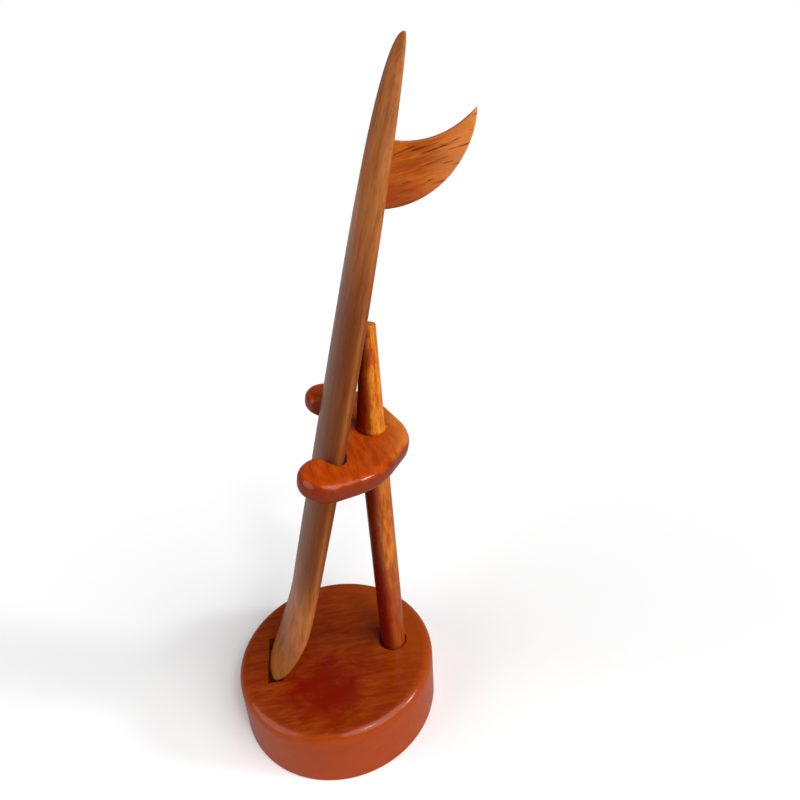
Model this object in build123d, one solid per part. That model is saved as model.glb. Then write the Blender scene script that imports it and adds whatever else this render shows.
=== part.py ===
"""Miniature wooden surfboard standing tail up in a hardwood stand.

Millimetres, +Z up. The origin is the centre of the base's underside. +X runs from the nose slot
to the post, and the board leans towards +X. The board, fin, base and post are symmetric about
the plane Y = 0. The collar sits turned a little, because the post is loose in its hole.
"""
import os
from math import cos, pi, radians, sin

from build123d import *

# ---- board --------------------------------------------------------------------------------
board_length = 383.0         # tail tip to nose, along the board
board_half_width = 35.3      # at the widest place
board_dome = 9.0             # crown of the deck above the edge line, at the thickest place
board_rail = 3.5             # edge line down to the flat bottom, at the thickest place
rail_tuck = 5.0              # width of the round that runs under each edge
wide_point = 0.41            # from the nose to the widest place, as a share of the length
nose_kick = 14.0             # how far the nose turns up towards the deck
nose_kick_length = 70.0
board_lean = 14.67           # degrees from vertical, towards +X
nose_x = -31.5               # nose end of the edge line
nose_depth = 13.6            # the same end, below the base's top

# ---- fin ----------------------------------------------------------------------------------
fin_root_upper = 42.9        # ends of the root, measured down the board from the tail tip
fin_root_lower = 74.4
fin_tip_down = 21.3          # tip: down the board, and out from the edge line
fin_tip_out = 39.5
fin_upper_bow = (34.3, 27.6)     # a point on the hollow upper edge: down, out
fin_lower_bow = (48.6, 35.8)     # a point on the round lower edge: down, out
fin_thickness = 4.0
fin_bevel = 0.8
tab_length = 22.0            # tab let into the board
tab_depth = 3.0
tab_thickness = 2.4

# ---- base ---------------------------------------------------------------------------------
base_diameter = 130.0
base_height = 40.0
base_top_round = 6.5
base_foot_round = 1.5
slot_deck_gap = 0.8          # slot wall to the deck, square to the board
slot_bottom_gap = 0.6        # slot wall to the board's bottom
slot_end_gap = 0.5           # slot end to the board's edge, at the base's top
nose_floor_gap = 0.5         # nose to the slot's floor

# ---- post ---------------------------------------------------------------------------------
post_x = 39.2                # post axis where it leaves the base
post_lean = 0.8              # degrees towards -X, taken up by the loose hole
post_foot_radius = 8.3
post_head_radius = 7.8
post_foot_chamfer = 1.0
hole_play = 1.05             # hole radius less the post's radius
hole_shift = -0.3            # hole centre ahead of the post axis
hole_depth = 25.0
hole_floor_gap = 0.6

# ---- collar -------------------------------------------------------------------------------
collar_height = 159.6        # middle of the collar above the base, along the post
collar_tilt = 10.8           # degrees, lower towards +X
collar_roll = 3.0            # degrees, higher towards +Y
collar_turn = -4.0           # degrees about the post
collar_thickness = 12.5
collar_edge_round = 5.0
body_ahead = -10.4           # the collar's outline goes round five discs
body_radius = 31.3
flank_ahead = -34.1
flank_side = board_half_width - 30.2
flank_radius = 50.0
horn_ahead = -25.7
horn_side = board_half_width + 6.1
horn_radius = 14.4
notch_gap = 0.7              # notch walls to the board's widest part, at either end of the turn
notch_back_gap = 0.9         # the same behind the board, which leans on the cone alone
mouth_half_width = board_half_width - 4.8    # half the opening between the horn tips

# ---- cone and dowel -----------------------------------------------------------------------
cone_tip_height = 228.0      # tip above the base
cone_tip_gap = 0.3           # tip to the board's bottom as its thickest part passes
cone_foot_shift = -1.6       # cone foot ahead of the post axis
cone_foot_radius = 8.2
cone_tip_radius = 4.1
cone_foot_round = 1.4
cone_tip_round = 0.6
dowel_radius = 4.0
dowel_in_post = 16.0
dowel_in_cone = 14.0
glue_gap = 0.03              # all round each glued peg

lean = radians(board_lean)
tail_tip_x = nose_x + board_length * sin(lean)
tail_tip_z = base_height - nose_depth + board_length * cos(lean)


# ---- board shape --------------------------------------------------------------------------
def board_point(down, out=0.0):
    """A point in the plane Y = 0, out from the edge line towards the bottom side."""
    x = tail_tip_x - down * sin(lean) + out * cos(lean)
    z = tail_tip_z - down * cos(lean) - out * sin(lean)
    return Vector(x, 0, z)


def share_from_widest(down):
    """0 at the widest place and 1 at either end, and whether the place is on the nose's side."""
    from_nose = 1 - down / board_length
    if from_nose < wide_point:
        return (wide_point - from_nose) / wide_point, True
    return (from_nose - wide_point) / (1 - wide_point), False


def half_width(down):
    share, to_nose = share_from_widest(down)
    power, root = (3.4, 2.1) if to_nose else (2.0, 2.5)
    return board_half_width * (1 - share**power) ** (1 / root)


def dome(down):
    share, _ = share_from_widest(down)
    return board_dome * (1 - share**6) ** 0.5


def rail(down):
    share, to_nose = share_from_widest(down)
    end_share = 0.54 if to_nose else 0.2
    return board_rail * (1 - (1 - end_share) * share**1.6)


def kick(down):
    into_kick = 1 - (board_length - down) / nose_kick_length
    return nose_kick * max(into_kick, 0.0) ** 1.8


def bottom_out(down):
    return rail(down) - kick(down)


def deck_out(down):
    return -dome(down) - kick(down)


def down_at_height(z, surface):
    """How far down the board its deck or bottom crosses a height."""
    down = 0.0
    for _ in range(30):
        down = (tail_tip_z - z - surface(down) * sin(lean)) / cos(lean)
    return down


def board_section(down):
    """Crowned deck, edges rounded under, and a flat bottom."""
    wide = half_width(down)
    deep = rail(down)
    tuck = min(rail_tuck, 0.35 * wide)
    flat = wide - tuck
    deck = EllipticalCenterArc((0, 0), wide, dome(down), start_angle=0, arc_size=180)
    near_rail = EllipticalCenterArc((-flat, 0), tuck, deep, start_angle=180, arc_size=90)
    bottom = Line((-flat, -deep), (flat, -deep))
    far_rail = EllipticalCenterArc((flat, 0), tuck, deep, start_angle=270, arc_size=90)
    outline = make_face(Wire([deck, near_rail, bottom, far_rail]))
    across = Plane(board_point(down, -kick(down)), x_dir=(0, 1, 0), z_dir=(sin(lean), 0, cos(lean)))
    return across * outline


def board_blank():
    stations = 20
    end_angle = 0.06             # the end sections are small, so they start just inside the ends
    angles = [end_angle + (pi - 2 * end_angle) * i / stations for i in range(stations + 1)]
    return loft([board_section(board_length * (1 - cos(angle)) / 2) for angle in angles])


def make_board():
    return board_blank() - fin_tab(glue_gap)


# ---- fin ----------------------------------------------------------------------------------
side_view = Plane(board_point(0), x_dir=(-sin(lean), 0, -cos(lean)), z_dir=(0, -1, 0))


def fin_tab(extra=0.0):
    """Tab under the fin's root. The mortise for it is the same tab with the glue gap round it."""
    middle = (fin_root_upper + fin_root_lower) / 2
    above = 1.0                  # the tab runs up into the blade, so that the two fuse
    level = bottom_out(middle)
    block = Box(tab_length + 2 * extra, tab_depth + extra + above, tab_thickness + 2 * extra)
    return side_view * Pos(middle, level + (above - tab_depth - extra) / 2, 0) * block


def make_fin():
    root_upper = (fin_root_upper, bottom_out(fin_root_upper))
    root_lower = (fin_root_lower, bottom_out(fin_root_lower))
    tip = (fin_tip_down, fin_tip_out)
    upper_edge = ThreePointArc(root_upper, fin_upper_bow, tip)
    lower_edge = ThreePointArc(tip, fin_lower_bow, root_lower)
    under = [(fin_root_lower, 0), (fin_root_upper, 0)]       # inside the board, trimmed off below
    root = Polyline(root_lower, *under, root_upper)
    outline = make_face(Wire([upper_edge, lower_edge] + root.edges()))
    blade = extrude(side_view * outline, fin_thickness / 2, both=True)
    blade = chamfer(blade.edges().filter_by(GeomType.CIRCLE), fin_bevel)
    return blade - board_blank() + fin_tab()


# ---- base ---------------------------------------------------------------------------------
def make_slot():
    """Slanted mortise for the nose, cut along the board's own lean."""
    top_down = down_at_height(base_height, bottom_out)
    stations = [top_down + (board_length - top_down) * i / 12 for i in range(13)]
    deck_wall = min(deck_out(down) for down in stations) - slot_deck_gap
    bottom_wall = bottom_out(top_down) + slot_bottom_gap
    half_length = half_width(top_down) + slot_end_gap
    start = top_down - 20
    end = board_length + nose_floor_gap
    block = Box(end - start, bottom_wall - deck_wall, 2 * half_length)
    return side_view * Pos((start + end) / 2, (deck_wall + bottom_wall) / 2, 0) * block


def make_base():
    puck = Cylinder(base_diameter / 2, base_height, align=(Align.CENTER, Align.CENTER, Align.MIN))
    puck = fillet(puck.edges().group_by(Axis.Z)[-1], base_top_round)
    puck = fillet(puck.edges().group_by(Axis.Z)[0], base_foot_round)
    hole = Cylinder(post_foot_radius + hole_play, hole_depth,
                    align=(Align.CENTER, Align.CENTER, Align.MAX))
    return puck - Pos(post_x + hole_shift, 0, base_height) * hole - make_slot()


# ---- post, collar, cone and dowel ---------------------------------------------------------
post_frame = Location((post_x, 0, base_height), (0, -post_lean, 0))


def turned(x, y, z):
    return Location((0, 0, 0), (x, y, z))


collar_frame = (post_frame * Pos(0, 0, collar_height) * turned(0, 0, collar_turn)
                * turned(0, collar_tilt, 0) * turned(collar_roll, 0, 0))
low = (Align.CENTER, Align.CENTER, Align.MIN)
high = (Align.CENTER, Align.CENTER, Align.MAX)
big = 200.0                  # side of the blocks that trim ends, larger than any piece they cut


def make_dowel(extra=0.0):
    """Straight peg through the collar, and with the glue gap round it the bore for that peg."""
    under = collar_thickness / 2 + dowel_in_post + extra
    over = collar_thickness / 2 + dowel_in_cone + extra
    peg = Cylinder(dowel_radius + extra, under + over, align=low)
    return post_frame * Pos(0, 0, collar_height - under) * peg


def make_post():
    foot = hole_depth - hole_floor_gap
    length = foot + collar_height + collar_thickness
    shaft = Cone(post_foot_radius, post_head_radius, length, align=low)
    shaft = chamfer(shaft.edges().group_by(Axis.Z)[0], post_foot_chamfer)
    return post_frame * Pos(0, 0, -foot) * shaft - half_space(top=False) - make_dowel(glue_gap)


def half_space(top):
    """Everything on the post's side, or on the cone's side, of the collar's face."""
    level = collar_thickness / 2 if top else -collar_thickness / 2
    return collar_frame * Pos(0, 0, level) * Box(big, big, big, align=high if top else low)


def make_notch():
    """Prism round the board's widest section all through the collar's turn, open between the horn tips."""
    down = down_at_height(collar_frame.position.Z, lambda _: 0.0)
    to_post = (collar_frame.position.X - board_point(down).X) / cos(lean)
    reach = 40.0                 # further than the collar's front and its thickness
    ahead_of_back = Pos(reach / 2 - board_rail - notch_back_gap, 0) * Rectangle(reach, big)
    section = Ellipse(board_dome + notch_gap, board_half_width + notch_gap) & ahead_of_back
    slot = Pos(reach / 2, 0) * Rectangle(reach, 2 * mouth_half_width)
    for share in (-1, -0.5, 0, 0.5, 1):
        slot += Pos(-to_post, 0) * Rot(0, 0, share * collar_turn) * Pos(to_post, 0) * section
    deck_ward = Plane(board_point(down), x_dir=(-cos(lean), 0, sin(lean)), z_dir=(sin(lean), 0, cos(lean)))
    return extrude(deck_ward * slot, reach, both=True)


def rounded_plate(outline):
    plate = extrude(outline, collar_thickness / 2, both=True)
    rims = plate.edges().group_by(Axis.Z)
    return fillet(rims[0] + rims[-1], collar_edge_round)


def make_collar():
    body = Pos(body_ahead, 0) * Circle(body_radius)
    flanks = [Pos(flank_ahead, side * flank_side) * Circle(flank_radius) for side in (-1, 1)]
    horns = [Pos(horn_ahead, side * horn_side) * Circle(horn_radius) for side in (-1, 1)]
    outline = make_hull([disc.edge() for disc in [body] + flanks + horns])
    behind_horns = Pos(horn_ahead, 0, 0) * Box(big, big, big, align=(Align.MIN, Align.CENTER, Align.CENTER))
    plate = rounded_plate(outline) & behind_horns
    for horn in horns:
        plate += rounded_plate(horn)
    untwist = post_frame * turned(0, 0, collar_turn) * post_frame.inverse()
    return collar_frame * plate - untwist * make_notch() - make_dowel(glue_gap)


def make_cone():
    """Tapered top piece whose tip's rim backs the board."""
    foot = (collar_frame * Pos(cone_foot_shift, 0, collar_thickness / 2)).position
    tip_z = base_height + cone_tip_height
    clear_out = board_rail + cone_tip_gap        # the thickest part passes the tip as the board lifts
    rim = board_point(down_at_height(tip_z, lambda _: clear_out), clear_out)
    tip = rim + Vector(cone_tip_radius, 0, 0)
    axis = tip - foot
    below = 4.0                  # the blank starts inside the collar and is trimmed to its face
    flare = (cone_foot_radius - cone_tip_radius) / axis.length
    blank = Cone(cone_foot_radius + below * flare, cone_tip_radius, axis.length + below, align=low)
    cone = Plane(foot, z_dir=axis) * Pos(0, 0, -below) * blank - half_space(top=True)
    cone = fillet(cone.edges().group_by(Axis.Z)[-1], cone_tip_round)
    foot_rim = cone.edges().sort_by(lambda edge: (edge.center() - foot).length)[0]
    cone = fillet(foot_rim, cone_foot_round)
    return cone - make_dowel(glue_gap)


# ---- files --------------------------------------------------------------------------------
pieces = {
    "base": make_base,
    "post": make_post,
    "centre_dowel": make_dowel,
    "collar": make_collar,
    "cone": make_cone,
    "board": make_board,
    "fin": make_fin,
}

os.makedirs("parts", exist_ok=True)
for name, make in pieces.items():
    export_step(make(), os.path.join("parts", name + ".step"))
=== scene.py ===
from math import acos, atan2, cos, hypot, pi, radians, sin, tau

import bpy
from mathutils import Euler, Matrix, Vector


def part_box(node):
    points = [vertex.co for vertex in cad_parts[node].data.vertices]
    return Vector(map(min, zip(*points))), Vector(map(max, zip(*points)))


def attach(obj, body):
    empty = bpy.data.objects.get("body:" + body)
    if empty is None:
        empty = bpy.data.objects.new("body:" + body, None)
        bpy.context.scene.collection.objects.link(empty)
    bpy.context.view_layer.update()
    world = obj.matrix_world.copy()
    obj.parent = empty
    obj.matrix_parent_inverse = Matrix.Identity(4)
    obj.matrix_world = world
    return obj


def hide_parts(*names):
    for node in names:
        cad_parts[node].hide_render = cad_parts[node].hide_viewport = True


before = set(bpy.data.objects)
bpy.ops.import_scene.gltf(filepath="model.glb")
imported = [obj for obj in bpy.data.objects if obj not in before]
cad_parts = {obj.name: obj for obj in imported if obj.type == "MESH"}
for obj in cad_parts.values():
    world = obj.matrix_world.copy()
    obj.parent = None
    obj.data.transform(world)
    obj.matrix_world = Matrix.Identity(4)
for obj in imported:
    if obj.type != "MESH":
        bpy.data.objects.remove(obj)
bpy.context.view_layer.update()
mm = 0.001
print("frame loaded")


# A socket that can be added, multiplied and so on; each step makes its own Math node.
class Link:
    def __init__(self, finish, socket):
        self.finish = finish
        self.socket = socket

    def __add__(self, other):
        return self.finish.maths("ADD", self, other)

    def __sub__(self, other):
        return self.finish.maths("SUBTRACT", self, other)

    def __rsub__(self, other):
        return self.finish.maths("SUBTRACT", other, self)

    def __mul__(self, other):
        return self.finish.maths("MULTIPLY", self, other)

    def __pow__(self, other):
        return self.finish.maths("POWER", self, other)

    __radd__ = __add__
    __rmul__ = __mul__


# A material whose nodes are made by a few short calls.
class Finish:
    def __init__(self, name):
        self.material = bpy.data.materials.new(name)
        self.material.use_nodes = True
        self.tree = self.material.node_tree
        self.shader = self.tree.nodes["Principled BSDF"]
        self.place = self.node("TexCoord", output="Object")

    def feed(self, socket, value):
        if isinstance(value, Link):
            self.tree.links.new(value.socket, socket)
        else:
            socket.default_value = value

    def node(self, kind, settings=None, inputs=None, output=0):
        made = self.tree.nodes.new("ShaderNode" + kind)
        for key, value in (settings or {}).items():
            setattr(made, key, value)
        for key, value in (inputs or {}).items():
            self.feed(made.inputs[key], value)
        return Link(self, made.outputs[output])

    def maths(self, operation, first, second):
        return self.node("Math", {"operation": operation}, {0: first, 1: second})

    def step(self, value, low, high):    # 0 below low, 1 above high, smooth between
        settings = {"interpolation_type": "SMOOTHSTEP"}
        return self.node("MapRange", settings, {"Value": value, "From Min": low, "From Max": high})

    def blend(self, share, first, second):
        settings = {"data_type": "RGBA", "clamp_factor": True}
        return self.node("Mix", settings, {0: share, 6: first, 7: second}, output=2)

    def local(self, centre, turn, size=(1, 1, 1)):    # coordinates along a piece's own axes
        inputs = {"Vector": self.place, "Location": centre, "Rotation": turn, "Scale": size}
        return self.node("Mapping", {"vector_type": "TEXTURE"}, inputs)

    def between(self, value, rise, fall):    # up over one pair of limits, down over the other
        return self.step(value, *rise) * (1 - self.step(value, *fall))

    def axes(self, vector):
        split = self.node("SeparateXYZ", None, {0: vector}).socket.node
        return [Link(self, socket) for socket in split.outputs]

    def speckle(self, centre, turn, size, detail=2.0, rough=0.5, bend=0.0):
        where = self.local(centre, turn, size)
        inputs = {"Vector": where, "Scale": 1.0, "Detail": detail, "Roughness": rough, "Distortion": bend}
        return self.node("TexNoise", None, inputs)

    def show(self, **inputs):
        for key, value in inputs.items():
            self.feed(self.shader.inputs[key.replace("_", " ")], value)


# Colours are linear. Grain runs along the piece's own Z.
varnish = {"gloss": 0.17, "glossSpread": 0.18, "specular": 0.22, "coat": 0.10, "coatRoughness": 0.06,
           "dullPores": 0.12, "middleMottle": 0.3, "poreRelief": 0.05 * mm, "fibreRelief": 0.02 * mm,
           "sandingRelief": 0.22 * mm, "sandingSize": 12 * mm}
grainSizes = {"fibre": (0.7 * mm, 0.7 * mm, 9 * mm), "band": (3.6 * mm, 3.6 * mm, 26 * mm),
              "mottle": (13 * mm, 13 * mm, 20 * mm), "pore": (0.42 * mm, 0.42 * mm, 4.5 * mm)}
grainMix = {"fibre": 0.30, "band": 0.42, "mottle": 0.28, "tones": (0.36, 0.64), "poreLimit": 0.70,
            "poreShare": 0.10, "poreDrift": 0.25, "poreEdge": 0.07}


def woodFinish(name, wood, extra=None):
    finish = Finish(name)
    centre = wood.get("centre", (0, 0, 0))
    turn = wood.get("turn", (0, 0, 0))
    spread = wood.get("spread", 1.0)
    sizes = {key: [side * spread for side in size] for key, size in grainSizes.items()}
    fibre = finish.speckle(centre, turn, sizes["fibre"], detail=3.0, rough=0.6)
    band = finish.speckle(centre, turn, sizes["band"], detail=3.0, rough=0.55, bend=0.4)
    mottle = finish.speckle(centre, turn, sizes["mottle"], detail=4.0, rough=0.6, bend=0.6)
    poreField = finish.speckle(centre, turn, sizes["pore"], detail=1.0)
    grain = fibre * grainMix["fibre"] + band * grainMix["band"] + mottle * grainMix["mottle"]
    tone = finish.step(grain, *grainMix["tones"])
    low = finish.blend(tone * 2.0, wood["deep"], wood["body"])
    colour = finish.blend(tone * 2.0 - 1.0, low, wood["bright"])
    poreLimit = grainMix["poreLimit"] - wood["pores"] * grainMix["poreShare"]
    drift = (mottle - 0.5) * grainMix["poreDrift"]
    pores = finish.step(poreField + drift, poreLimit, poreLimit + grainMix["poreEdge"])
    if extra:
        colour = extra(finish, colour, {"fibre": fibre, "band": band, "mottle": mottle})
    colour = finish.blend(pores * wood["poreDepth"], colour, wood["pore"])
    sanding = finish.speckle(centre, turn, [varnish["sandingSize"]] * 3, detail=1.0)
    height = sanding * varnish["sandingRelief"] - pores * varnish["poreRelief"] + fibre * varnish["fibreRelief"]
    bump = finish.node("Bump", None, {"Strength": 1.0, "Distance": 1.0, "Height": height})
    gloss = varnish["gloss"] + (mottle - varnish["middleMottle"]) * varnish["glossSpread"]
    finish.show(Base_Color=colour, Roughness=gloss + pores * varnish["dullPores"], Normal=bump,
                Coat_Weight=wood.get("coat", varnish["coat"]), Coat_Roughness=varnish["coatRoughness"],
                Specular_IOR_Level=wood.get("specular", varnish["specular"]))
    return finish.material


def dress(obj, material):
    obj.data.materials.clear()
    obj.data.materials.append(material)


def pickNothing():
    bpy.ops.object.select_all(action="DESELECT")


def pick(obj, kind, test):    # opens edit mode with only the wanted vertices, edges or polygons selected
    pickNothing()
    obj.select_set(True)
    bpy.context.view_layer.objects.active = obj
    bpy.ops.object.mode_set(mode="EDIT")
    bpy.ops.mesh.select_mode(type={"vertices": "VERT", "edges": "EDGE", "polygons": "FACE"}[kind])
    bpy.ops.mesh.select_all(action="DESELECT")
    bpy.ops.object.mode_set(mode="OBJECT")
    for item in getattr(obj.data, kind):
        item.select = test(item)
    bpy.ops.object.mode_set(mode="EDIT")


def leaveEdit():
    bpy.ops.object.mode_set(mode="OBJECT")


def settle(obj, name):    # names the new primitive and puts its place into its mesh
    obj.name = name
    obj.data.name = name
    bpy.ops.object.transform_apply(location=True, rotation=True, scale=True)
    return obj


def finishWith(obj, kind, **settings):
    pickNothing()
    obj.select_set(True)
    bpy.context.view_layer.objects.active = obj
    modifier = obj.modifiers.new(kind.lower(), kind)
    for key, value in settings.items():
        setattr(modifier, key, value)
    bpy.ops.object.modifier_apply(modifier=modifier.name)


def cutAway(obj, cutter):
    finishWith(obj, "BOOLEAN", object=cutter, operation="DIFFERENCE", solver="EXACT")
    bpy.data.objects.remove(cutter)


def smooth(obj, angle=40):
    pickNothing()
    obj.select_set(True)
    bpy.context.view_layer.objects.active = obj
    bpy.ops.object.shade_smooth_by_angle(angle=radians(angle))
    finishWith(obj, "WEIGHTED_NORMAL", keep_sharp=True, weight=100)


def install(obj, node, body, material):
    dress(obj, material)
    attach(obj, body)
    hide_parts(node)


# A closed skin with so many rings along it, whose every point is placed by a function of ring and turn.
def lofted(name, around, along, placePoint, markEdge=None):
    pickNothing()
    bpy.ops.mesh.primitive_cylinder_add(vertices=around, radius=1, depth=1, location=(0, 0, 0.5))
    obj = settle(bpy.context.object, name)
    pick(obj, "edges", lambda edge: abs(sum(obj.data.vertices[v].co.z for v in edge.vertices) - 1) < 0.01)
    bpy.ops.mesh.subdivide(number_cuts=along - 1)
    bpy.ops.mesh.select_mode(type="FACE")
    leaveEdit()
    pick(obj, "polygons", lambda face: len(face.vertices) == around)
    bpy.ops.mesh.poke()
    leaveEdit()
    edge = obj.data.attributes.new("edge", "FLOAT", "POINT") if markEdge else None
    for vertex in obj.data.vertices:
        x, y, z = vertex.co
        turn = None if hypot(x, y) < 0.5 else (round(atan2(y, x) / tau * around) % around) / around
        vertex.co = placePoint(round(z * along) / along, turn)
        if edge:
            edge.data[vertex.index].value = 1.0 if turn is None else markEdge(turn)
    pick(obj, "vertices", lambda vertex: True)
    bpy.ops.mesh.normals_make_consistent(inside=False)
    leaveEdit()
    return obj


# The board's own lines: how far down from the tail, and how far out from the edge line.
boardShape = {"length": 383 * mm, "halfWidth": 35.3 * mm, "dome": 9 * mm, "rail": 3.5 * mm, "tuck": 5 * mm,
              "tuckShare": 0.35, "widePoint": 0.41, "noseCurve": (3.4, 2.1), "tailCurve": (2.0, 2.5),
              "noseRail": 0.54, "tailRail": 0.2, "railPower": 1.6, "domePower": 6, "kick": 14 * mm,
              "kickLength": 70 * mm, "kickPower": 1.8, "lean": radians(14.67), "noseX": -31.5 * mm,
              "noseDepth": 13.6 * mm, "deckTurn": 0.5, "railTurn": 0.11, "endTurn": 0.024,
              "wearAndHighlightTurn": 0.035, "stations": 96, "around": 72}
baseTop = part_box("base")[1][2]
lean = boardShape["lean"]
downAxis = Vector((-sin(lean), 0, -cos(lean)))
outAxis = Vector((cos(lean), 0, -sin(lean)))
tailTip = Vector((boardShape["noseX"], 0, baseTop - boardShape["noseDepth"])) - downAxis * boardShape["length"]


def boardPoint(down, out=0.0, side=0.0):
    return tailTip + downAxis * down + outAxis * out + Vector((0, side, 0))


def fromWidest(down):
    fromNose = 1 - down / boardShape["length"]
    wide = boardShape["widePoint"]
    if fromNose < wide:
        return (wide - fromNose) / wide, True
    return (fromNose - wide) / (1 - wide), False


def halfWidth(down):
    share, toNose = fromWidest(down)
    power, root = boardShape["noseCurve"] if toNose else boardShape["tailCurve"]
    return boardShape["halfWidth"] * max(1 - share ** power, 0) ** (1 / root)


def dome(down):
    share, _ = fromWidest(down)
    return boardShape["dome"] * max(1 - share ** boardShape["domePower"], 0) ** 0.5


def rail(down):
    share, toNose = fromWidest(down)
    endShare = boardShape["noseRail"] if toNose else boardShape["tailRail"]
    return boardShape["rail"] * (1 - (1 - endShare) * share ** boardShape["railPower"])


def kick(down):
    intoKick = 1 - (boardShape["length"] - down) / boardShape["kickLength"]
    return boardShape["kick"] * max(intoKick, 0) ** boardShape["kickPower"]


# A turn from 0 to 1 goes over the crowned deck, round one rail, along the flat bottom and round the other rail.
def boardSection(down, turn):
    wide = halfWidth(down)
    tuck = min(boardShape["tuck"], boardShape["tuckShare"] * wide)
    flat = wide - tuck
    deckTurn, railTurn = boardShape["deckTurn"], boardShape["railTurn"]
    if turn < deckTurn:
        angle = pi * turn / deckTurn
        return wide * cos(angle), -dome(down) * sin(angle)
    turn -= deckTurn
    if turn < railTurn:
        angle = pi / 2 * turn / railTurn
        return -flat - tuck * cos(angle), rail(down) * sin(angle)
    turn -= railTurn
    flatTurn = 1 - deckTurn - 2 * railTurn
    if turn < flatTurn:
        return flat * (2 * turn / flatTurn - 1), rail(down)
    angle = pi / 2 * (turn - flatTurn) / railTurn
    return flat + tuck * sin(angle), rail(down) * cos(angle)


def placeOnBoard(share, turn):
    end = boardShape["endTurn"]    # stations close up towards both ends
    down = boardShape["length"] * (1 - cos(end + (pi - 2 * end) * share)) / 2
    if turn is None:
        return boardPoint(down, -kick(down))
    side, out = boardSection(down, turn)
    return boardPoint(down, out - kick(down), side)


# Edge wear and a painted highlight: the mark is 1 on the two edge lines between deck and rail.
def wearAndHighlightAt(turn):    # 1 on the two edges, fading over the rail
    return max(0.0, 1 - min(turn, 1 - turn, abs(turn - 0.5)) / boardShape["wearAndHighlightTurn"])


boardWood = {"centre": tuple(tailTip), "turn": (0, lean, 0), "deep": (0.27, 0.072, 0.014, 1),
             "body": (0.36, 0.112, 0.026, 1), "bright": (0.43, 0.155, 0.038, 1),
             "pore": (0.06, 0.016, 0.008, 1), "pores": 0.2, "poreDepth": 0.5, "spread": 1.2,
             "specular": 0.06, "coat": 0.02}
boardMarks = {"middle": ((60 * mm, 130 * mm), (270 * mm, 310 * mm)), "middleColour": (0.10, 0.018, 0.003, 1),
              "nose": ((325 * mm, 345 * mm), (352 * mm, 366 * mm)), "noseBands": (0.4, 0.6),
              "noseColour": (0.07, 0.022, 0.02, 1), "tail": (20 * mm, 120 * mm), "tailSpots": (0.45, 0.62),
              "tailColour": (0.16, 0.050, 0.022, 1), "wearAndHighlightColour": (0.46, 0.15, 0.03, 1),
              "middleShare": 0.75, "noseShare": 0.55, "tailShare": 0.35, "wearAndHighlightShare": 0.7}


def boardStain(finish, colour, fields):
    down = finish.axes(finish.local(boardWood["centre"], boardWood["turn"]))[2] * -1.0
    noseBands = finish.step(fields["band"], *boardMarks["noseBands"])
    tailSpots = finish.step(fields["mottle"], *boardMarks["tailSpots"])
    middle = finish.between(down, *boardMarks["middle"])
    nose = finish.between(down, *boardMarks["nose"]) * noseBands
    tail = (1 - finish.step(down, *boardMarks["tail"])) * tailSpots
    # Lighter edges: partly wear, partly a painted highlight along the rail's edge line.
    wearAndHighlight = finish.node("Attribute", {"attribute_name": "edge"}, output="Fac") * fields["band"]
    colour = finish.blend(middle * boardMarks["middleShare"], colour, boardMarks["middleColour"])
    colour = finish.blend(nose * boardMarks["noseShare"], colour, boardMarks["noseColour"])
    colour = finish.blend(tail * boardMarks["tailShare"], colour, boardMarks["tailColour"])
    return finish.blend(wearAndHighlight * boardMarks["wearAndHighlightShare"], colour, boardMarks["wearAndHighlightColour"])


board = lofted("surfboard", boardShape["around"], boardShape["stations"], placeOnBoard, wearAndHighlightAt)
smooth(board, 50)
install(board, "board", "board", woodFinish("boardVarnish", boardWood, boardStain))
print("board made")


finShape = {"rootUpper": 42.9 * mm, "rootLower": 74.4 * mm, "tip": (21.3 * mm, 39.5 * mm),
            "upperBow": (34.3 * mm, 27.6 * mm), "lowerBow": (48.6 * mm, 35.8 * mm), "thickness": 4 * mm,
            "squareness": 0.28, "tipFade": 3 * mm, "tipFadePower": 0.7, "gather": 1.2, "intoBoard": 1.2 * mm,
            "stations": 48, "around": 64}


def arcThrough(first, middle, last):    # a point on the circle through three points, by share of the way
    (ax, ay), (bx, by), (cx, cy) = first, middle, last
    a, b, c = [x ** 2 + y ** 2 for x, y in (first, middle, last)]
    scale = 2 * (ax * (by - cy) + bx * (cy - ay) + cx * (ay - by))
    hubX = (a * (by - cy) + b * (cy - ay) + c * (ay - by)) / scale
    hubY = (a * (cx - bx) + b * (ax - cx) + c * (bx - ax)) / scale
    radius = hypot(ax - hubX, ay - hubY)
    start = atan2(ay - hubY, ax - hubX)
    sweep = (atan2(cy - hubY, cx - hubX) - start + pi) % tau - pi

    def point(share):
        angle = start + sweep * share
        return Vector((hubX + radius * cos(angle), hubY + radius * sin(angle)))
    return point


def finEdge(root, bow):    # from the board's bottom to the fin's tip
    return arcThrough((finShape[root], rail(finShape[root])), finShape[bow], finShape["tip"])


upperEdge = finEdge("rootUpper", "upperBow")
lowerEdge = finEdge("rootLower", "lowerBow")


# Each ring round the blade is a flat bar with rounded edges, which thins out at the tip.
def placeOnFin(share, turn):
    along = 1 - (1 - share) ** finShape["gather"]    # rings close up towards the tip
    above, below = upperEdge(along), lowerEdge(along)
    across, level = 0.0, 0.0
    if turn is not None:
        chord = (above - below).length / 2
        thin = min(1, (chord / finShape["tipFade"]) ** finShape["tipFadePower"])
        across, level = [abs(side) ** finShape["squareness"] * (1 if side > 0 else -1)
                         for side in (cos(tau * turn), sin(tau * turn))]
        level *= finShape["thickness"] / 2 * thin
    spot = (above + below) / 2 + (above - below) / 2 * across
    inward = finShape["intoBoard"] * max(0.0, 1 - share * finShape["stations"])
    return boardPoint(spot[0], spot[1] - inward, level)


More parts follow.
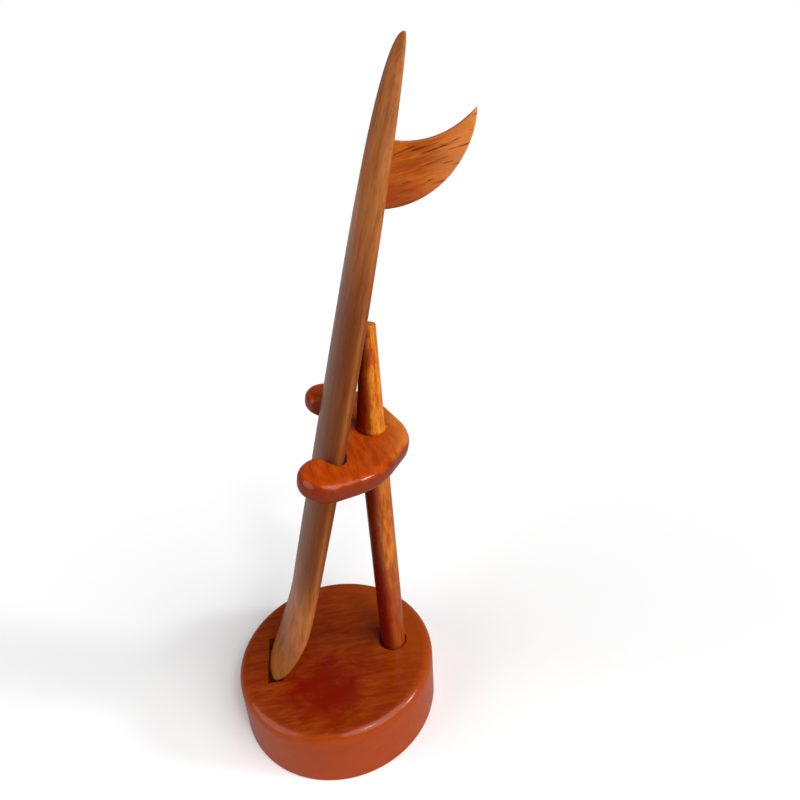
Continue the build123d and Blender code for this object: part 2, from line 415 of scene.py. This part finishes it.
finWood = {"centre": tuple(boardPoint(58 * mm, 10 * mm)), "turn": (0, radians(77), 0),
           "deep": (0.30, 0.050, 0.003, 1), "body": (0.40, 0.080, 0.004, 1), "bright": (0.52, 0.13, 0.008, 1),
           "pore": (0.20, 0.025, 0.004, 1), "pores": 0.2, "poreDepth": 0.5, "spread": 0.9,
           "specular": 0.15, "coat": 0.06}
finMarks = {"size": (1.1 * mm, 1.1 * mm, 15 * mm), "streaks": (0.60, 0.68), "bands": (0.35, 0.5),
            "streakColour": (0.09, 0.012, 0.003, 1), "low": (50 * mm, 74 * mm),
            "lowColour": (0.25, 0.032, 0.006, 1), "tip": (16 * mm, 38 * mm), "tipColour": (0.68, 0.24, 0.06, 1),
            "lowShare": 0.7, "tipShare": 0.55, "streakShare": 0.85}


def finStreaks(finish, colour, fields):
    grainField = finish.speckle(finWood["centre"], finWood["turn"], finMarks["size"], detail=2.0, bend=0.1)
    streaks = finish.step(grainField, *finMarks["streaks"]) * finish.step(fields["band"], *finMarks["bands"])
    out, _, up = finish.axes(finish.local(boardWood["centre"], boardWood["turn"]))
    low = finish.step(up * -1.0, *finMarks["low"])
    tip = finish.step(out, *finMarks["tip"])
    colour = finish.blend(low * finMarks["lowShare"], colour, finMarks["lowColour"])
    colour = finish.blend(tip * finMarks["tipShare"], colour, finMarks["tipColour"])
    return finish.blend(streaks * finMarks["streakShare"], colour, finMarks["streakColour"])


fin = lofted("tailFin", finShape["around"], finShape["stations"], placeOnFin)
smooth(fin, 60)
install(fin, "fin", "board", woodFinish("finVarnish", finWood, finStreaks))
print("fin made")


baseShape = {"topRound": 6.5 * mm, "footRound": 1.5 * mm, "facets": 192, "softEdge": 0.35 * mm,
             "slotDeckWall": -16.83 * mm, "slotBottomWall": -7.3 * mm, "slotHalfLength": 18.27 * mm,
             "slotEnd": 383.5 * mm, "slotStart": 351 * mm, "holeX": 38.9 * mm, "holeRadius": 9.35 * mm,
             "holeDepth": 25 * mm, "holeFacets": 96}


def atHeight(obj, z):
    return lambda edge: all(abs(obj.data.vertices[v].co.z - z) < 1e-6 for v in edge.vertices)


def makeBase():
    low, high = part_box("base")
    radius = (high[0] - low[0]) / 2
    height = high[2]
    pickNothing()
    bpy.ops.mesh.primitive_cylinder_add(vertices=baseShape["facets"], radius=radius, depth=height,
                                        location=(0, 0, height / 2))
    base = settle(bpy.context.object, "roundBase")
    pick(base, "edges", atHeight(base, height))
    bpy.ops.mesh.bevel(offset=baseShape["topRound"], segments=12)
    leaveEdit()
    pick(base, "edges", atHeight(base, 0))
    bpy.ops.mesh.bevel(offset=baseShape["footRound"], segments=4)
    leaveEdit()
    pickNothing()
    middle = boardPoint((baseShape["slotStart"] + baseShape["slotEnd"]) / 2,
                        (baseShape["slotDeckWall"] + baseShape["slotBottomWall"]) / 2)
    size = (baseShape["slotBottomWall"] - baseShape["slotDeckWall"], 2 * baseShape["slotHalfLength"],
            baseShape["slotEnd"] - baseShape["slotStart"])
    bpy.ops.mesh.primitive_cube_add(size=1, location=middle, rotation=(0, lean, 0), scale=size)
    cutAway(base, settle(bpy.context.object, "slotCutter"))
    pickNothing()
    bpy.ops.mesh.primitive_cylinder_add(vertices=baseShape["holeFacets"], radius=baseShape["holeRadius"],
                                        depth=2 * baseShape["holeDepth"],
                                        location=(baseShape["holeX"], 0, height))
    cutAway(base, settle(bpy.context.object, "holeCutter"))
    onTop = atHeight(base, height)
    inside = radius - 1.5 * baseShape["topRound"]
    levelFaces = {}    # how many level faces meet at each edge: one at the rims of slot and hole
    for face in base.data.polygons:
        for key in face.edge_keys:
            levelFaces[key] = levelFaces.get(key, 0) + (face.normal.z > 0.999)
    pick(base, "edges", lambda edge: onTop(edge) and levelFaces[edge.key] == 1
         and all(base.data.vertices[v].co.xy.length < inside for v in edge.vertices))
    bpy.ops.mesh.bevel(offset=baseShape["softEdge"], segments=2)
    leaveEdit()
    smooth(base)
    return base


baseWood = {"centre": (0, 0, 0), "turn": (0, radians(90), 0), "deep": (0.185, 0.016, 0.001, 1),
            "body": (0.235, 0.027, 0.001, 1), "bright": (0.285, 0.042, 0.002, 1),
            "pore": (0.10, 0.010, 0.002, 1), "pores": 0.25, "poreDepth": 0.3, "spread": 0.8}
baseMarks = {"wall": (60 * mm, 65 * mm), "wallColour": (0.34, 0.045, 0.002, 1), "boardReflectionAt": (-10 * mm, -30 * mm),
             "boardReflection": (10 * mm, 34 * mm), "boardReflectionWander": 40 * mm, "boardReflectionColour": (0.165, 0.003, 0.001, 1),
             "right": (5 * mm, 65 * mm), "litRightWander": 30 * mm, "litRightColour": (0.36, 0.058, 0.003, 1),
             "litRightShare": 0.7, "boardReflectionShare": 0.85, "wallShare": 0.7}


def baseStain(finish, colour, fields):
    x, y, _ = finish.axes(finish.place)
    uneven = fields["mottle"] - 0.5
    # Painted sheen: the rim and side wall are lighter than the top.
    wall = finish.step((x * x + y * y) ** 0.5, *baseMarks["wall"])
    # Painted reflection of the board: a darker red patch on the top below the nose.
    reflectionX, reflectionY = baseMarks["boardReflectionAt"]
    fromBoardReflection = ((x - reflectionX) * (x - reflectionX) + (y - reflectionY) * (y - reflectionY)) ** 0.5
    boardReflection = 1 - finish.step(fromBoardReflection + uneven * baseMarks["boardReflectionWander"], *baseMarks["boardReflection"])
    # Painted light: the base is lighter towards the right-hand side.
    right = finish.step(x + y * 0.5 + uneven * baseMarks["litRightWander"], *baseMarks["right"])
    colour = finish.blend(right * baseMarks["litRightShare"], colour, baseMarks["litRightColour"])
    colour = finish.blend(boardReflection * baseMarks["boardReflectionShare"] * (1 - wall), colour, baseMarks["boardReflectionColour"])
    return finish.blend(wall * baseMarks["wallShare"], colour, baseMarks["wallColour"])


base = makeBase()
install(base, "base", "base", woodFinish("baseVarnish", baseWood, baseStain))
print("base made")


postShape = {"x": 39.2 * mm, "lean": radians(0.8), "footRadius": 8.3 * mm, "headRadius": 7.8 * mm,
             "foot": 24.4 * mm, "footChamfer": 1 * mm, "intoCollar": 0.05 * mm, "facets": 96}
collarShape = {"height": 159.6 * mm, "tilt": radians(10.8), "roll": radians(3), "turn": radians(-4),
               "thickness": 12.5 * mm, "edgeRound": 5 * mm, "body": (-10.4 * mm, 31.3 * mm),
               "flank": (-34.1 * mm, 5.1 * mm, 50 * mm), "horn": (-25.7 * mm, 41.4 * mm, 14.4 * mm),
               "notchGap": 0.7 * mm, "notchBackGap": 0.9 * mm, "notchFacets": 128,
               "notchTurns": (-1, -0.5, 0, 0.5, 1),
               "mouthHalf": 30.5 * mm, "mouthReach": 40 * mm, "voxel": 0.5 * mm, "smoothing": 9, "facets": 40}


def turned(x=0.0, y=0.0, z=0.0):
    return Euler((x, y, z)).to_matrix().to_4x4()


postFrame = Matrix.Translation((postShape["x"], 0, baseTop)) @ turned(y=-postShape["lean"])
swing = turned(z=collarShape["turn"])
collarFrame = (postFrame @ Matrix.Translation((0, 0, collarShape["height"])) @ swing
               @ turned(y=collarShape["tilt"]) @ turned(x=collarShape["roll"]))


def trimAbove(obj, point, normal):    # keeps what is behind the plane and closes the cut
    pick(obj, "vertices", lambda vertex: True)
    bpy.ops.mesh.bisect(plane_co=point, plane_no=normal, use_fill=True, clear_outer=True)
    leaveEdit()


def makePost():
    top = collarShape["height"] + collarShape["thickness"]
    depth = top + postShape["foot"]
    pickNothing()
    bpy.ops.mesh.primitive_cone_add(vertices=postShape["facets"], radius1=postShape["footRadius"],
                                    radius2=postShape["headRadius"], depth=depth,
                                    location=(0, 0, top - depth / 2))
    post = settle(bpy.context.object, "post")
    pick(post, "edges", atHeight(post, -postShape["foot"]))
    bpy.ops.mesh.bevel(offset=postShape["footChamfer"], segments=3)
    leaveEdit()
    post.data.transform(postFrame)
    underside = collarFrame @ Vector((0, 0, -collarShape["thickness"] / 2 + postShape["intoCollar"]))
    trimAbove(post, underside, collarFrame.to_3x3() @ Vector((0, 0, 1)))
    smooth(post)
    return post


postWood = {"centre": (postShape["x"], 0, baseTop), "turn": (0, -postShape["lean"], 0),
            "deep": (0.28, 0.040, 0.002, 1), "body": (0.46, 0.115, 0.008, 1), "bright": (0.62, 0.22, 0.015, 1),
            "pore": (0.12, 0.018, 0.004, 1), "pores": 0.6, "poreDepth": 0.7, "spread": 0.8}


# Painted shade: the side towards the board is darker and redder, standing in for the board's shadow on the post
# and cone; the colour is also darker and redder near the post's foot.
leftShadeAndFoot = {"limits": (-4.5 * mm, 1.5 * mm), "wander": 3 * mm, "colour": (0.15, 0.002, 0.0005, 1),
           "foot": (baseTop + 30 * mm, baseTop + 110 * mm), "footWander": 30 * mm,
           "footColour": (0.24, 0.028, 0.004, 1), "share": 0.95, "footShare": 0.8}


def shadeOnLeft(finish, colour, fields, wood):
    across = finish.axes(finish.local(wood["centre"], wood["turn"]))[0]
    # Painted shade: darker and redder on the side towards the board, where the board shadows the post and cone.
    shadedLeft = 1 - finish.step(across + (fields["mottle"] - 0.5) * leftShadeAndFoot["wander"], *leftShadeAndFoot["limits"])
    return finish.blend(shadedLeft * leftShadeAndFoot["share"], colour, leftShadeAndFoot["colour"])


def postStain(finish, colour, fields):
    height = finish.axes(finish.place)[2] + (fields["mottle"] - 0.5) * leftShadeAndFoot["footWander"]
    foot = 1 - finish.step(height, *leftShadeAndFoot["foot"])
    colour = finish.blend(foot * leftShadeAndFoot["footShare"], colour, leftShadeAndFoot["footColour"])
    return shadeOnLeft(finish, colour, fields, postWood)


post = makePost()
install(post, "post", "stand", woodFinish("postVarnish", postWood, postStain))
print("post made")


# Half of the collar's outline goes round three discs: horn, flank and body.
def hullOutline(discs):
    points = []
    for index, (x, y, radius) in enumerate(discs):
        angles = []
        for other in (index - 1, index + 1):
            if 0 <= other < len(discs):
                ox, oy, otherRadius = discs[other]
                heading = atan2(oy - y, ox - x)
                offset = acos((radius - otherRadius) / hypot(ox - x, oy - y))
                angles.append(heading + (offset if other < index else -offset))
        if index == 0:
            angles.insert(0, -3 * pi / 2)
        if index == len(discs) - 1:
            angles.append(0.0)
        start, end = angles
        while end < start:
            end += tau
        while end - start > tau:
            end -= tau
        for i in range(collarShape["facets"] + 1):
            angle = start + (end - start) * i / collarShape["facets"]
            points.append((x + radius * cos(angle), y + radius * sin(angle)))
    return points


def makeCollar():
    bodyX, bodyRadius = collarShape["body"]
    flankX, flankY, flankRadius = collarShape["flank"]
    hornX, hornY, hornRadius = collarShape["horn"]
    near = hullOutline([(hornX, -hornY, hornRadius), (flankX, -flankY, flankRadius), (bodyX, 0.0, bodyRadius)])
    outline = near + [(x, -y) for x, y in reversed(near[:-1])]
    pickNothing()
    bpy.ops.mesh.primitive_circle_add(vertices=len(outline), radius=1, fill_type="NGON",
                                      location=(0, 0, -collarShape["thickness"] / 2))
    collar = settle(bpy.context.object, "hornedCollar")
    for vertex, (x, y) in zip(collar.data.vertices, outline):
        vertex.co.x, vertex.co.y = x, y
    pick(collar, "vertices", lambda vertex: True)
    bpy.ops.mesh.remove_doubles(threshold=0.05 * mm)
    bpy.ops.mesh.extrude_region_move(TRANSFORM_OT_translate={"value": (0, 0, collarShape["thickness"])})
    bpy.ops.mesh.select_all(action="SELECT")
    bpy.ops.mesh.normals_make_consistent(inside=False)
    leaveEdit()
    half = collarShape["thickness"] / 2
    pick(collar, "edges", lambda edge: atHeight(collar, half)(edge) or atHeight(collar, -half)(edge))
    bpy.ops.mesh.bevel(offset=collarShape["edgeRound"], segments=10, clamp_overlap=False)
    leaveEdit()
    collar.data.transform(collarFrame)
    for share in collarShape["notchTurns"]:
        cutAway(collar, notchCutter(share))
    cutAway(collar, mouthCutter())
    finishWith(collar, "REMESH", mode="VOXEL", voxel_size=collarShape["voxel"], use_smooth_shade=True)
    finishWith(collar, "SMOOTH", factor=0.5, iterations=collarShape["smoothing"])
    return collar


# The notch clears the board's widest section all through the collar's turn.
notchDown = (tailTip.z - collarFrame.translation.z) / cos(lean)
intoNotch = postFrame @ swing @ postFrame.inverted()


def notchCutter(share):
    back = boardShape["rail"] + collarShape["notchBackGap"]
    pickNothing()
    bpy.ops.mesh.primitive_cylinder_add(vertices=collarShape["notchFacets"], radius=1,
                                        depth=2 * collarShape["mouthReach"])
    notch = settle(bpy.context.object, "notchCutter")
    notch.data.transform(Matrix.Diagonal((boardShape["dome"] + collarShape["notchGap"],
                                          boardShape["halfWidth"] + collarShape["notchGap"], 1, 1)))
    trimAbove(notch, (back, 0, 0), (1, 0, 0))
    notch.data.transform(Matrix.Translation(boardPoint(notchDown)) @ turned(y=lean))
    notch.data.transform(intoNotch @ postFrame @ turned(z=share * collarShape["turn"]) @ postFrame.inverted())
    return notch


def mouthCutter():
    pickNothing()
    reach = collarShape["mouthReach"]
    bpy.ops.mesh.primitive_cube_add(size=1, location=(-reach / 2, 0, 0),
                                    scale=(reach, 2 * collarShape["mouthHalf"], 2 * reach))
    mouth = settle(bpy.context.object, "mouthCutter")
    mouth.data.transform(intoNotch @ Matrix.Translation(boardPoint(notchDown)) @ turned(y=lean))
    return mouth


collarWood = {"centre": tuple(collarFrame.translation), "turn": (radians(90), 0, radians(12)),
              "deep": (0.29, 0.028, 0.001, 1), "body": (0.38, 0.044, 0.001, 1),
              "bright": (0.45, 0.070, 0.002, 1), "pore": (0.14, 0.016, 0.003, 1), "pores": 0.2,
              "poreDepth": 0.4, "spread": 1.0}
collarMarks = {"side": (2.5 * mm, 5.8 * mm), "shadedSideWander": 4 * mm, "shadedSideColour": (0.165, 0.016, 0.002, 1),
               "head": (38 * mm, 56 * mm), "headWander": 20 * mm, "headColour": (0.62, 0.19, 0.022, 1),
               "headShare": 0.75, "shadedSideShare": 0.85}


def collarStain(finish, colour, fields):
    uneven = fields["mottle"] - 0.5
    height = finish.axes(finish.local(tuple(collarFrame.translation), tuple(collarFrame.to_euler())))[2]
    # Painted shade: the collar's sides and underside are darker than its lit top.
    side = 1 - finish.step(height + uneven * collarMarks["shadedSideWander"], *collarMarks["side"])
    ahead = finish.axes(finish.place)[0]
    head = finish.step(ahead + uneven * collarMarks["headWander"], *collarMarks["head"])
    colour = finish.blend(head * collarMarks["headShare"] * (1 - side), colour, collarMarks["headColour"])
    return finish.blend(side * collarMarks["shadedSideShare"], colour, collarMarks["shadedSideColour"])


collar = makeCollar()
install(collar, "collar", "stand", woodFinish("collarVarnish", collarWood, collarStain))
print("collar made")


coneShape = {"tipHeight": 228 * mm, "tipOut": 3.8 * mm, "footShift": -1.6 * mm, "footRadius": 8.2 * mm,
             "tipRadius": 4.1 * mm, "lip": 0.45 * mm, "lipHeight": 1.6 * mm, "tipRound": 0.6 * mm,
             "facets": 96, "rings": 72}


coneFoot = collarFrame @ Vector((coneShape["footShift"], 0, collarShape["thickness"] / 2))
tipDown = (tailTip.z - baseTop - coneShape["tipHeight"] - coneShape["tipOut"] * sin(lean)) / cos(lean)
coneTip = boardPoint(tipDown, coneShape["tipOut"]) + Vector((coneShape["tipRadius"], 0, 0))
coneTurn = (coneTip - coneFoot).to_track_quat("Z", "Y")
coneLean = atan2(coneTip.x - coneFoot.x, coneTip.z - coneFoot.z)
faceUp = collarFrame.to_3x3() @ Vector((0, 0, 1))


# The foot is cut to the collar's face, with a small rolled lip, and the tip's rim is rounded.
def placeOnCone(share, turn):
    axis = coneTip - coneFoot
    tipRound = coneShape["tipRound"]
    share = (1 - cos(pi * share)) / 2    # rings close up towards both ends
    height = share * axis.length
    radius = coneShape["footRadius"] + (coneShape["tipRadius"] - coneShape["footRadius"]) * share
    upLip = height / coneShape["lipHeight"]
    radius += coneShape["lip"] * (max(0.0, 1 - (upLip - 1) ** 2) - max(0.0, 1 - upLip))
    toTip = axis.length - height
    if toTip < tipRound:
        radius -= tipRound - (tipRound ** 2 - (tipRound - toTip) ** 2) ** 0.5
    if turn is None:
        return coneFoot + axis * share
    outward = coneTurn @ Vector((cos(tau * turn), sin(tau * turn), 0)) * radius
    slant = -outward.dot(faceUp) / axis.normalized().dot(faceUp)
    return coneFoot + outward + axis * share + axis.normalized() * slant * (1 - share)


def makeCone():
    cone = lofted("turnedCone", coneShape["facets"], coneShape["rings"], placeOnCone)
    smooth(cone)
    return cone


coneWood = {"centre": tuple(coneFoot), "turn": (0, coneLean, 0), "deep": (0.30, 0.035, 0.003, 1),
            "body": (0.56, 0.135, 0.003, 1), "bright": (0.68, 0.25, 0.008, 1),
            "pore": (0.15, 0.018, 0.003, 1), "pores": 0.8, "poreDepth": 0.75, "spread": 0.8}


def coneStain(finish, colour, fields):
    # Painted shade on the cone's side towards the board.
    return shadeOnLeft(finish, colour, fields, coneWood)


install(makeCone(), "cone", "stand", woodFinish("coneVarnish", coneWood, coneStain))
print("cone made")


dowelWood = {"centre": (postShape["x"], 0, baseTop), "turn": (0, -postShape["lean"], 0),
             "deep": (0.45, 0.28, 0.14, 1), "body": (0.58, 0.40, 0.22, 1), "bright": (0.68, 0.50, 0.30, 1),
             "pore": (0.30, 0.18, 0.09, 1), "pores": 0.3, "poreDepth": 0.4, "spread": 0.6}
dress(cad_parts["centre_dowel"], woodFinish("dowelBeech", dowelWood))


# Pale floor, soft lights and the camera.
studio = {"floorSize": 24.0, "floorColour": (0.97, 0.97, 0.97, 1), "floorInVarnish": (0.34, 0.33, 0.32, 1),
          "skyForCamera": 1.0, "skyForLight": 0.10}
lights = [
    {"name": "highFront", "from": (0.45, -0.62, 0.80), "strength": 2.5, "spread": radians(55)},
    {"name": "frontGlint", "from": (0.30, -0.60, 0.80), "strength": 0.35, "spread": radians(7)},
    {"name": "rightWindow", "from": (0.90, -0.30, 0.38), "strength": 1.1, "spread": radians(10)},
    {"name": "leftFill", "from": (-0.90, -0.25, 0.45), "strength": 1.3, "spread": radians(50)},
]
view = {"place": (13.2 * mm, -295.5 * mm, 369.6 * mm), "yaw": radians(7.89), "pitch": radians(26.39),
        "roll": radians(-3.54), "lens": 26.93}


class Sky(Finish):
    def __init__(self, world):
        world.use_nodes = True
        self.tree = world.node_tree
        self.shader = self.tree.nodes["Background"]


def makeFloor():
    pickNothing()
    bpy.ops.mesh.primitive_plane_add(size=studio["floorSize"], location=(0, 0, 0))
    floor = settle(bpy.context.object, "paleFloor")
    finish = Finish("palePaper")
    mirrored = finish.node("LightPath", output="Is Glossy Ray")    # a dimmer floor in the varnish
    colour = finish.blend(mirrored, studio["floorColour"], studio["floorInVarnish"])
    finish.show(Base_Color=colour, Roughness=0.9, Specular_IOR_Level=0.1)
    dress(floor, finish.material)


def makeSky():
    world = bpy.data.worlds.new("studioSky")
    bpy.context.scene.world = world
    sky = Sky(world)
    seen = sky.node("LightPath", output="Is Camera Ray")
    sky.show(Strength=studio["skyForLight"] + seen * (studio["skyForCamera"] - studio["skyForLight"]),
             Color=(1, 1, 1, 1))


def makeLight(settings):
    pickNothing()
    bpy.ops.object.light_add(type="SUN", location=settings["from"])
    lamp = bpy.context.object
    lamp.name = settings["name"]
    lamp.data.energy = settings["strength"]
    lamp.data.angle = settings["spread"]
    lamp.rotation_euler = Vector(settings["from"]).to_track_quat("Z", "Y").to_euler()


def makeCamera():
    pickNothing()
    bpy.ops.object.camera_add(location=view["place"])
    camera = bpy.context.object
    camera.name = "camera"
    yaw, pitch, roll = view["yaw"], view["pitch"], view["roll"]
    ahead = Vector((sin(yaw) * cos(pitch), cos(yaw) * cos(pitch), -sin(pitch)))
    level = Vector((cos(yaw), -sin(yaw), 0))
    upright = level.cross(ahead)
    right = level * cos(roll) + upright * sin(roll)
    top = upright * cos(roll) - level * sin(roll)
    camera.rotation_euler = Matrix((right, top, -ahead)).transposed().to_euler()
    camera.data.sensor_width = 36
    camera.data.lens = view["lens"]
    camera.data.clip_start = 0.01
    bpy.context.scene.camera = camera


makeFloor()
makeSky()
for settings in lights:
    makeLight(settings)
makeCamera()
bpy.context.scene.view_settings.view_transform = "Standard"
print("studio ready")
